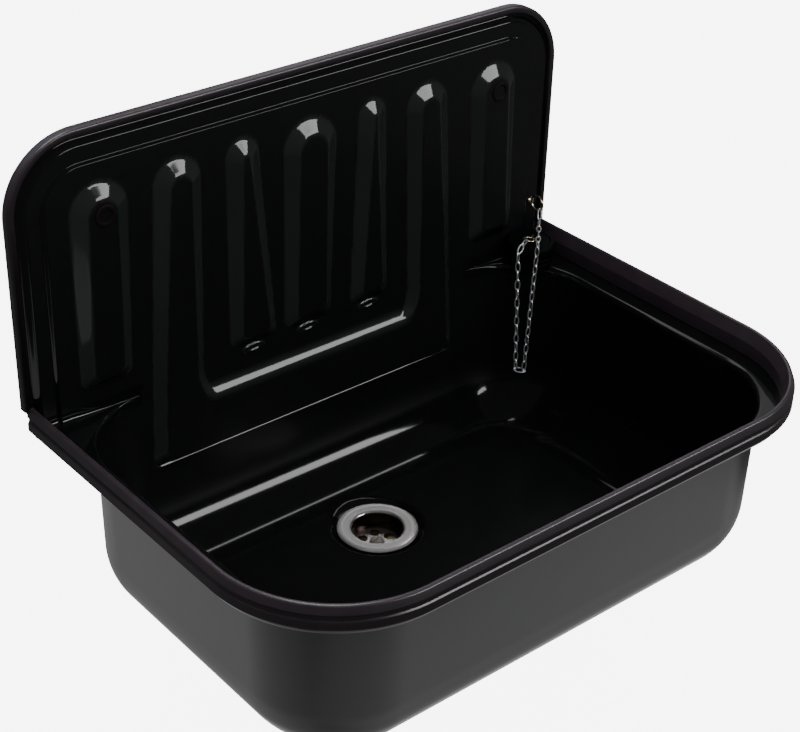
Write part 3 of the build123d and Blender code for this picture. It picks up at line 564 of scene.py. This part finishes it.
# Lays a second colour or gloss over a finish where a mask is 1
def overlay(made, mask, colour=None, rough=None):
    tree = made.node_tree
    skin = tree.nodes["Principled BSDF"]
    if colour:
        under = tree.nodes["shade"].outputs[MIX_OUT]
        colours = {"Factor": mask, MIX_A: under, MIX_B: tint(colour)}
        mix = add_node(tree, "ShaderNodeMix", colours, data_type="RGBA")
        tree.links.new(mix.outputs[MIX_OUT], skin.inputs["Base Color"])
    if rough:
        under = tree.nodes["gloss"].outputs["Result"]
        mix = add_node(tree, "ShaderNodeMix", {"Factor": mask, "A": under, "B": rough})
        tree.links.new(mix.outputs["Result"], skin.inputs["Roughness"])


# Vitreous enamel: black glass fused onto pressed steel, with a wide shallow ripple from the firing.
# A grey sheen is painted into its colour on the bevels, and it is less glossy on the flats
enamel = finish("black_enamel", "#151616", "#181919", 0.08, 9.0, 0.003, Specular_IOR_Level=0.2)
# Painted sheen: the colour is mixed towards a lighter grey where the "bevel" mark is set, in place of light
# caught on the slopes
painted_sheen_mark = add_node(enamel.node_tree, "ShaderNodeAttribute", attribute_name="bevel")
overlay(enamel, painted_sheen_mark.outputs["Fac"], colour="#343636")
dull_mark = add_node(enamel.node_tree, "ShaderNodeAttribute", attribute_name="dull")
overlay(enamel, dull_mark.outputs["Fac"], rough=0.36)

# Extruded soft PVC: a satin, slightly purple black, rubbed paler in places
trim_plastic = finish("edge_trim_pvc", "#312930", "#372f34", 0.34, 1.2, 0.01)

# Moulded polyamide: a dull purple black with hardly any shine
bush_plastic = finish("bush_polyamide", "#2a1d27", "#31232d", 0.6, 0.8, 0.01, Specular_IOR_Level=0.1)

# Pressed and polished stainless steel: bright level faces, and painted shade that darkens the faces tipped
# away from upright, such as the cup's drawn wall
stainless = finish("polished_stainless", "#d6d4d4", "#dedcdc", 0.25, 0.6, 0.002, Metallic=0.95)
LEVEL_FACE = 0.75
WALL_SHADE_FULL = 0.35
# Painted shade: the colour turns brown black as a face tips from level towards upright
facing = add_node(stainless.node_tree, "ShaderNodeNewGeometry").outputs["Normal"]
upright = add_node(stainless.node_tree, "ShaderNodeSeparateXYZ", {"Vector": facing}).outputs["Z"]
painted_wall_shade = add_node(stainless.node_tree, "ShaderNodeMapRange", {
    "Value": upright, "From Min": LEVEL_FACE, "From Max": WALL_SHADE_FULL,
})
overlay(stainless, painted_wall_shade.outputs["Result"], colour="#4a3d35")

# Turned stainless steel: a little darker and warmer than the polished flange
screw_steel = finish("screw_stainless", "#bdb9b2", "#cbc8c2", 0.26, 0.4, 0.003, Metallic=1.0)

# Moulded nitrile rubber: matt black
gasket = finish("gasket_rubber", "#17181a", "#1d1e20", 0.6, 0.7, 0.01)

# Moulded polypropylene: cream, yellowed a little with age, with a soft shine
waste_plastic = finish("waste_polypropylene", "#c8bb95", "#bfae80", 0.45, 0.9, 0.01)

# Turned brass: yellow metal with a satin shine
brass = finish("insert_brass", "#c9a24a", "#b98f3c", 0.3, 0.4, 0.003, Metallic=1.0)

# Bright nickel plate on drawn brass wire: cool white metal, warmer where the plate has worn thin
nickel = finish("bright_nickel", "#d6dae4", "#cfcbc5", 0.3, 0.5, 0.002, Metallic=0.85)

# Nickel plate on the stay, ring and staple: warmer, because it is worn further
nickel_stay = finish("stay_nickel", "#c8bfae", "#b5a37f", 0.22, 0.5, 0.002, Metallic=1.0)

# Zinc plate on steel: a satin grey with a faint yellow cast
zinc = finish("zinc_plate", "#b4b8ba", "#a3a89f", 0.35, 0.5, 0.003, Metallic=1.0)

# Moulded plug rubber: greenish black under a dull bloom
plug_rubber = finish("plug_rubber", "#06130c", "#0b160f", 0.55, 0.9, 0.012, Specular_IOR_Level=0.05)

# Every CAD node gets its finish; the nodes that are not listed are the chain's links
CAD_FINISH = {
    "basin_shell": enamel,
    "rim_edge_trim": trim_plastic,
    "back_edge_trim": trim_plastic,
    "fixing_bushes": bush_plastic,
    "flange_gasket": gasket,
    "waste_flange": stainless,
    "body_gasket": gasket,
    "waste_body": waste_plastic,
    "screw_insert": brass,
    "waste_screw": screw_steel,
    "chain_stay": nickel_stay,
    "stay_washer": zinc,
    "stay_nut": zinc,
    "plug": plug_rubber,
    "plug_staple": nickel_stay,
    "plug_ring": nickel_stay,
}
for name, node in frame["nodes"].items():
    node.data.materials.clear()
    node.data.materials.append(CAD_FINISH.get(name, nickel))


def place_piece(piece, node, body, look):
    piece.data.materials.append(look)
    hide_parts(node)
    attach(piece, body)


place_piece(shell_piece(), "basin_shell", "sink", enamel)

# Corners of a profile: the steps of a rounding, the most of a side that it takes, and the least made
ROUND_STEPS = 5
ROUND_MOST = 0.49
ROUND_LEAST = 1e-4


# A closed profile from rows of two places and a corner radius
def rounded(corners):
    points = []
    count = len(corners)
    for i, (x, y, radius) in enumerate(corners):
        here = np.array((x, y))
        before = np.array(corners[i - 1][:2]) - here
        after = np.array(corners[(i + 1) % count][:2]) - here
        before_long = np.linalg.norm(before)
        after_long = np.linalg.norm(after)
        half = math.acos(np.clip(before @ after / (before_long * after_long), -1, 1)) / 2
        cut = 0.0
        if radius > 0:
            cut = min(radius / math.tan(half), ROUND_MOST * before_long, ROUND_MOST * after_long)
        if cut < ROUND_LEAST:
            points.append(here)
            continue
        start = here + before / before_long * cut
        end = here + after / after_long * cut
        for t in np.linspace(0, 1, ROUND_STEPS + 1):
            points.append((1 - t) ** 2 * start + 2 * t * (1 - t) * here + t * t * end)
    return np.array(points)


# A solid through stations that hold one closed profile; its ends are capped, or joined on a closed path
def swept(name, stations, closed_path=False):
    rings = np.array(stations)
    count, size = rings.shape[:2]
    faces = []
    for i in range(count if closed_path else count - 1):
        j = (i + 1) % count
        for k in range(size):
            m = (k + 1) % size
            faces.append((i * size + k, i * size + m, j * size + m, j * size + k))
    if not closed_path:
        faces.append(tuple(range(size - 1, -1, -1)))
        faces.append(tuple((count - 1) * size + k for k in range(size)))
    return mesh_piece(name, rings.reshape(-1, 3), faces, SWEPT_MERGE, SWEPT_MERGE, solid=True)


TRIM_CORNER_TURNS = 49


# Path of a trim round three sides: points with the outward direction, corners turned in small steps
def three_sides(half, reach, corner, start):
    way = math.copysign(1.0, reach - start)
    path = [(-half, start, -1.0, 0.0)]
    for turn in np.linspace(0, QUARTER, TRIM_CORNER_TURNS):
        x = -half + corner - corner * math.cos(turn)
        y = reach - way * corner * (1 - math.sin(turn))
        path.append((x, y, -math.cos(turn), way * math.sin(turn)))
    return path + [(-x, y, -nx, ny) for x, y, nx, ny in path[::-1]]


# Rim trim, which grips the flange's upturn: distance in from outside, height from the rim, corner radius
RIM_PROFILE = (
    (5.8, 2.7, 1.2), (3.9, 3.1, 2.0), (2.4, 2.0, 2.0), (0.25, -3.4, 0.9), (1.6, -5.0, 0.5),
    (1.4, -7.6, 0.6), (0.4, -8.8, 0.8), (0.4, -15.2, 0.5), (2.95, -15.2, 0.2), (2.95, -0.95, 0.0),
    (5.05, -0.95, 0.0), (5.05, -17.4, 0.0), (7.4, -19.4, 0.2), (9.2, -19.4, 0.5), (9.2, -8.0, 2.5),
)
RIM_END = -8.8


def rim_trim():
    profile = rounded(RIM_PROFILE)
    stations = []
    for x, y, nx, ny in three_sides(HALF, -DEPTH, RIM_CORNER, RIM_END):
        stations.append([(x - nx * u, y - ny * u, RIM + v) for u, v in profile])
    return swept("rim_trim", stations)


place_piece(rim_trim(), "rim_edge_trim", "sink", trim_plastic)

# Back trim, which grips the back's edge: distance in from outside, place from the wall, corner radius
BACK_PROFILE = (
    (0.0, 0.0, 1.0), (0.0, -8.0, 2.4), (6.0, -8.0, 1.8), (6.0, -5.05, 0.2),
    (2.15, -5.05, 0.0), (2.15, -2.95, 0.0), (6.0, -2.95, 0.2), (6.0, 0.0, 0.4),
)
BACK_END = RIM - 1.0


def back_trim():
    profile = rounded(BACK_PROFILE)
    stations = []
    for x, z, nx, nz in three_sides(HALF, BACK_TOP, BACK_CORNER, BACK_END):
        stations.append([(x - nx * u, v, z - nz * u) for u, v in profile])
    return swept("back_trim", stations)


place_piece(back_trim(), "back_edge_trim", "sink", trim_plastic)

TURNED_STEPS = 64


# A turned form: a profile of radius and height, spun about a line
def turned(name, profile, origin, along):
    axis = Vector(along)
    side = axis.orthogonal().normalized()
    other = axis.cross(side)
    stations = []
    for a in np.linspace(0, 2 * math.pi, TURNED_STEPS, endpoint=False):
        out = np.array(side * math.cos(a) + other * math.sin(a))
        stations.append([np.array(origin) + r * out + h * np.array(axis) for r, h in profile])
    return swept(name, stations, True)


def joined(name, pieces):
    work = bmesh.new()
    for piece in pieces:
        work.from_mesh(piece.data)
        bpy.data.objects.remove(piece)
    mesh = bpy.data.meshes.new(name)
    work.to_mesh(mesh)
    work.free()
    return show(name, mesh)


# Bushes: a collar on the rib's face, a stem back to the wall and a countersunk bore.
# The profile's rows are radius, distance from the wall and corner radius
BUSH_X = 185.0
BUSH_FACE = 19.1
BUSH_SEAT = 17.1
BUSH_BORE = 3.25
BUSH_STEM = 5.5
BUSH_COLLAR = 8.5
COUNTERSINK_R = 5.8
COUNTERSINK = 3.0
BUSH_PROFILE = (
    (BUSH_BORE, 0.0, 0.2), (BUSH_STEM, 0.0, 0.3), (BUSH_STEM, BUSH_SEAT, 0.0),
    (BUSH_COLLAR, BUSH_SEAT, 0.2), (BUSH_COLLAR, BUSH_FACE, 1.4),
    (COUNTERSINK_R, BUSH_FACE, 0.3), (BUSH_BORE, BUSH_FACE - COUNTERSINK, 0.4),
)
bushes = [turned("bush", rounded(BUSH_PROFILE), (x, 0.0, 0.0), (0, -1, 0)) for x in (-BUSH_X, BUSH_X)]
place_piece(joined("wall_bushes", bushes), "fixing_bushes", "sink", bush_plastic)

# Plug: tapered rubber with two sealing lips and a shallow dish in its top, parked on the right rear ledge.
# The profile's rows are radius, height and corner radius
PLUG_FROM_SIDE = 37.5
PLUG_FROM_WALL = 33.0
PLUG_CLEAR = 0.3
PLUG_AT = (HALF - PLUG_FROM_SIDE, -PLUG_FROM_WALL, LEDGE + PLUG_CLEAR)
PLUG_PROFILE = (
    (0.0, 0.0, 0.0), (17.5, 0.0, 1.0), (18.1, 4.0, 0.8), (17.7, 5.2, 0.6),
    (18.8, 9.0, 0.8), (18.4, 10.2, 0.6), (20.3, 14.6, 0.8), (20.5, 18.8, 1.5),
    (19.6, 21.9, 1.4), (16.2, 21.9, 1.0), (15.2, 21.3, 1.0), (0.0, 21.3, 0.0),
)
plug = turned("rubber_plug", rounded(PLUG_PROFILE), PLUG_AT, (0, 0, 1))
place_piece(plug, "plug", "plug", plug_rubber)

# Chain links: oval loops of round wire, all twisted by one angle that fades out at the chain's two ends.
# ASIDE is a direction that the wire never runs in, from which the first section is turned
LINK_LONG = 10.0
LINK_WIDE = 3.8
LINK_WIRE = 0.65
LINK_TURNS = 32
WIRE_SIDES = 12
ASIDE = (0.31, 0.52, 0.79)
LINK_TWIST = math.radians(45.0)
TWIST_FROM = 2
TWIST_ENDS = 5.0


# Round wire along a closed run of points
def wire_stations(points, radius):
    stations = []
    side = None
    for i, here in enumerate(points):
        chord = points[(i + 1) % len(points)] - points[i - 1]
        along = chord / np.linalg.norm(chord)
        if side is None:
            side = np.cross(along, ASIDE)
        side = side - along * (side @ along)
        side = side / np.linalg.norm(side)
        other = np.cross(along, side)
        stations.append([here + radius * (math.cos(a) * side + math.sin(a) * other)
                         for a in np.linspace(0, 2 * math.pi, WIRE_SIDES, endpoint=False)])
    return stations


# One mesh that all the links share
def link_mesh():
    turns = np.linspace(0, 2 * math.pi, LINK_TURNS, endpoint=False)
    oval = np.array([(LINK_LONG / 2 * math.cos(a), LINK_WIDE / 2 * math.sin(a), 0.0) for a in turns])
    piece = swept("chain_link", wire_stations(oval, LINK_WIRE), True)
    mesh = piece.data
    mesh.materials.append(nickel)
    bpy.data.objects.remove(piece)
    return mesh


# Middle of a CAD link and its axes, the longest first
def cad_axes(node):
    spots = np.array([node.matrix_world @ v.co for v in node.data.vertices])
    spread = np.linalg.svd(spots - spots.mean(axis=0), full_matrices=False)[2]
    local = (spots - spots.mean(axis=0)) @ spread.T
    middle = spots.mean(axis=0) + ((local.min(axis=0) + local.max(axis=0)) / 2) @ spread
    return middle, spread


link_shape = link_mesh()
body_of_node = {n: b for b, nodes in frame["record"]["behaviour"]["bodies"].items() for n in nodes}
link_names = sorted(name for name in frame["nodes"] if name.startswith("chain_link_"))
link_axes = [cad_axes(frame["nodes"][name]) for name in link_names]
last = len(link_names) - 1
for i, name in enumerate(link_names):
    middle, spread = link_axes[i]
    run = link_axes[min(i + 1, last)][0] - link_axes[max(i - 1, 0)][0]
    along = Vector(spread[0] * math.copysign(1.0, spread[0] @ run))
    wide = Vector(spread[1])
    turn = Matrix((along, wide, along.cross(wide))).transposed().to_4x4()
    from_ends = ease((i - TWIST_FROM) / TWIST_ENDS) * ease((last - TWIST_FROM - i) / TWIST_ENDS)
    twist = Matrix.Rotation(LINK_TWIST * float(from_ends), 4, "X")
    piece = show("smooth_" + name, link_shape)
    piece.matrix_world = Matrix.Translation(Vector(middle)) @ turn @ twist
    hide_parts(name)
    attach(piece, body_of_node[name])

# Camera at the photograph's angle: its place, its angles, and the focal length and image centre in pixels
CAMERA_AT = (-744.717, -989.803, 697.516 + RIM)
CAMERA_TURN = math.radians(-39.286)
CAMERA_TILT = math.radians(30.969)
CAMERA_ROLL = math.radians(-1.050)
FOCAL_PX = 1784.921
CENTRE_PX = (366.099, 352.515)
IMAGE = (800.0, 732.0)
SENSOR = 36.0


def photo_camera():
    level = math.cos(CAMERA_TILT)
    back = Vector((math.sin(CAMERA_TURN) * level, -math.cos(CAMERA_TURN) * level, math.sin(CAMERA_TILT)))
    right = (-back).cross(Vector((0, 0, 1))).normalized()
    down = (-back).cross(right)
    rolled_right = right * math.cos(CAMERA_ROLL) + down * math.sin(CAMERA_ROLL)
    rolled_down = down * math.cos(CAMERA_ROLL) - right * math.sin(CAMERA_ROLL)
    data = bpy.data.cameras.new("photo_camera")
    data.sensor_width = SENSOR
    data.lens = FOCAL_PX * SENSOR / IMAGE[0]
    data.shift_x = (IMAGE[0] / 2 - CENTRE_PX[0]) / IMAGE[0]
    data.shift_y = (CENTRE_PX[1] - IMAGE[1] / 2) / IMAGE[0]
    camera = show("photo_camera", data)
    turn = Matrix((rolled_right, -rolled_down, back)).transposed().to_4x4()
    camera.matrix_world = Matrix.Translation(Vector(CAMERA_AT) * MM) @ turn
    bpy.context.scene.camera = camera


photo_camera()

# Studio, in metres: a lit paper floor below the hung sink, softboxes and cards
FLOOR_DROP = 0.43
FLOOR_HALF = 6.0
FLOOR_GLOW = 7.0
CARD_LIFT = 0.01
CARD = -FLOOR_DROP + CARD_LIFT
WORLD_GLOW = 0.12
WHITE = (1.0, 1.0, 1.0, 1.0)
COOL = (0.72, 0.85, 1.0)
ACROSS = (1.0, 0.0, 0.0)


# Lit white paper: plain and matt, kept out of the pieces' reflections and of the light on them
def studio_floor():
    mesh = bpy.data.meshes.new("studio_floor")
    sides = ((-1, -1), (1, -1), (1, 1), (-1, 1))
    corners = [(x * FLOOR_HALF, y * FLOOR_HALF, -FLOOR_DROP) for x, y in sides]
    mesh.from_pydata(corners, [], [(0, 1, 2, 3)])
    paper = finish("lit_paper", "#f4f4f4", "#f0f0f0", 0.8, 3.0, 0.01, Emission_Strength=FLOOR_GLOW)
    paper.node_tree.nodes["Principled BSDF"].inputs["Emission Color"].default_value = WHITE
    mesh.materials.append(paper)
    floor = show("studio_floor", mesh)
    floor.visible_glossy = False
    floor.visible_diffuse = False


studio_floor()


# Pieces that a light can be kept to, as flags and cards do in a studio
def lit_group(name, names):
    group = bpy.data.collections.new(name)
    for piece in bpy.data.objects:
        if piece.name.startswith(names):
            group.objects.link(piece)
    return group


chain = lit_group("bright_chain", ("smooth_chain_link", "chain_stay", "plug_ring", "plug_staple"))
drain = lit_group("bright_drain", ("waste_flange", "waste_screw"))
enamelled = lit_group("enamelled", ("enamelled_shell",))
trims = lit_group("trims", ("rim_trim", "back_trim"))


# A softbox: its brightness is what a mirror would show, its power follows from its size, and "along" is
# the direction of its first side
def softbox(name, at, aim, size, bright, mirrored=True, lights=True, along=None, only=None):
    data = bpy.data.lights.new(name, "AREA")
    data.shape = "RECTANGLE"
    data.size, data.size_y = size
    data.energy = math.pi * size[0] * size[1] * bright
    back = (Vector(at) - Vector(aim)).normalized()
    level = Vector(along) if along else Vector((0, 0, 1)).cross(back)
    side = (level - back * level.dot(back)).normalized()
    turn = Matrix((side, back.cross(side), back)).transposed().to_4x4()
    light = show(name, data)
    light.matrix_world = Matrix.Translation(at) @ turn
    light.visible_camera = False
    light.visible_glossy = mirrored
    light.visible_diffuse = lights
    light.light_linking.receiver_collection = only
    return light


# A card on the floor that faces straight up and only shows in the enamel
def floor_card(name, x, y, size, bright):
    softbox(name, (x, y, CARD), (x, y, 0.5), size, bright, lights=False, along=ACROSS, only=enamelled)


# Softboxes that show as reflections and leave the colours as they are
softbox("front_box", (0.79, -1.54, 0.62), (0.0, -0.05, 0.0), (1.35, 0.30), 19.0, lights=False)
softbox("rear_strip", (0.66, 0.02, 0.81), (0.0, -0.07, -0.3), (1.2, 0.06), 9.0,
        lights=False, along=ACROSS, only=enamelled)
softbox("lip_strip", (0.42, 0.88, 1.32), (0.24, -0.15, -0.16), (1.4, 0.25), 3.0, lights=False, along=ACROSS)
softbox("rear_right", (1.4, 1.2, 1.0), (0.24, -0.15, -0.16), (1.2, 0.9), 0.8, lights=False)

# Softboxes that light the colours and are not mirrored
softbox("overhead", (0.0, -0.5, 2.4), (0.0, -0.5, -0.4), (3.0, 3.0), 0.8, mirrored=False, along=ACROSS)
softbox("front_fill", (0.0, -2.0, 1.0), (0.0, 0.0, -0.05), (2.0, 1.5), 1.2, mirrored=False, only=enamelled)

# Cards under the sink and a box behind it, for the enamel alone
floor_card("front_card", 0.04, -0.54, (0.88, 0.32), 1.7)
floor_card("corner_card", -0.50, -0.54, (0.20, 0.32), 0.7)
floor_card("left_card", -0.52, 0.06, (0.46, 0.88), 1.3)
floor_card("under_card", 0.09, 0.06, (0.76, 0.88), 0.6)
softbox("rear_left", (-1.5, 1.1, 0.1), (-0.2, -0.1, -0.15), (1.4, 0.8), 1.6, only=enamelled)

# Softboxes for the trims alone; nothing but the trims shades the first cool one
softbox("trim_box", (-0.25, -0.15, 1.8), (0.0, -0.15, -0.14), (1.0, 1.0), 10.0, only=trims)
bead_box = softbox("bead_box", (-0.36, 0.97, 0.97), (-0.25, -0.15, -0.14), (1.2, 0.8), 0.6, only=trims)
bead_box.light_linking.blocker_collection = trims
bead_box.data.color = COOL
bead_right = softbox("bead_right", (1.0, -0.29, 1.11), (0.0, -0.34, -0.14), (0.9, 0.9), 0.8, only=trims)
bead_right.data.color = COOL

# Softboxes for the chain alone and for the waste alone; nothing but the waste shades its own
softbox("chain_box", (-0.9, -1.4, 0.9), (0.05, -0.1, -0.25), (1.2, 1.2), 4.0, only=chain)
drain_box = softbox("drain_box", (0.75, 0.8, 0.63), (0.0, -0.1, -0.3), (1.0, 1.0), 13.0, only=drain)
drain_box.light_linking.blocker_collection = drain

world = bpy.data.worlds.new("studio")
bpy.context.scene.world = world
world.use_nodes = True
world.node_tree.nodes["Background"].inputs["Color"].default_value = WHITE
world.node_tree.nodes["Background"].inputs["Strength"].default_value = WORLD_GLOW
